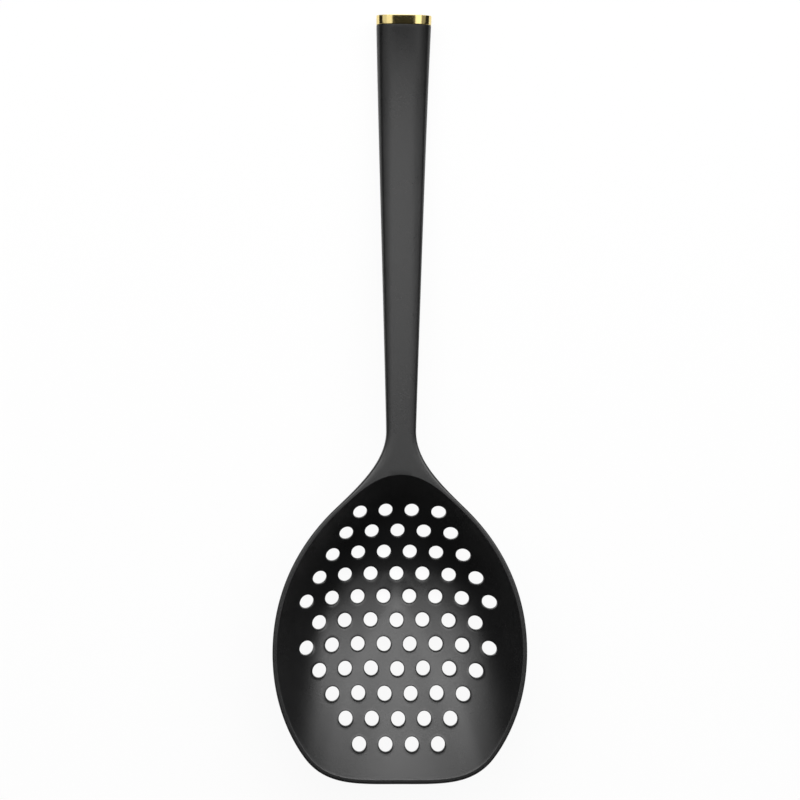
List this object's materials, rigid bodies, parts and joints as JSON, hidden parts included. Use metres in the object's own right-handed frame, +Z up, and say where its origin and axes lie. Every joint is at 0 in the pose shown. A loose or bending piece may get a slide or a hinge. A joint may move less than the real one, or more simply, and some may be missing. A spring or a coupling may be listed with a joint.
{
  "type": "scoop strainer",
  "caption": "Black nylon scoop strainer: deep perforated bowl with a straight front lip, flared into a slim tapered handle with a gold-tone metal end cap.",
  "frame": {"origin": "middle of the bounding box at its base, on the surface that the tool lies on", "axes": "+Z up out of the open bowl, +Y from the bowl along the handle to the butt, +X to the right as seen from above with the butt at the top"},
  "size_m": [0.1158, 0.3478, 0.0408],
  "materials": {
    "nylon": "satin moulded black",
    "handle_nylon": "satin moulded black",
    "plug_nylon": "plain moulded black",
    "gold_metal": "polished gold tone"
  },
  "bodies": {
    "root": {"scoop_head": "nylon", "handle_shell": "handle_nylon", "cap_plug": "plug_nylon", "end_cap": "gold_metal"}
  },
  "joints": []
}
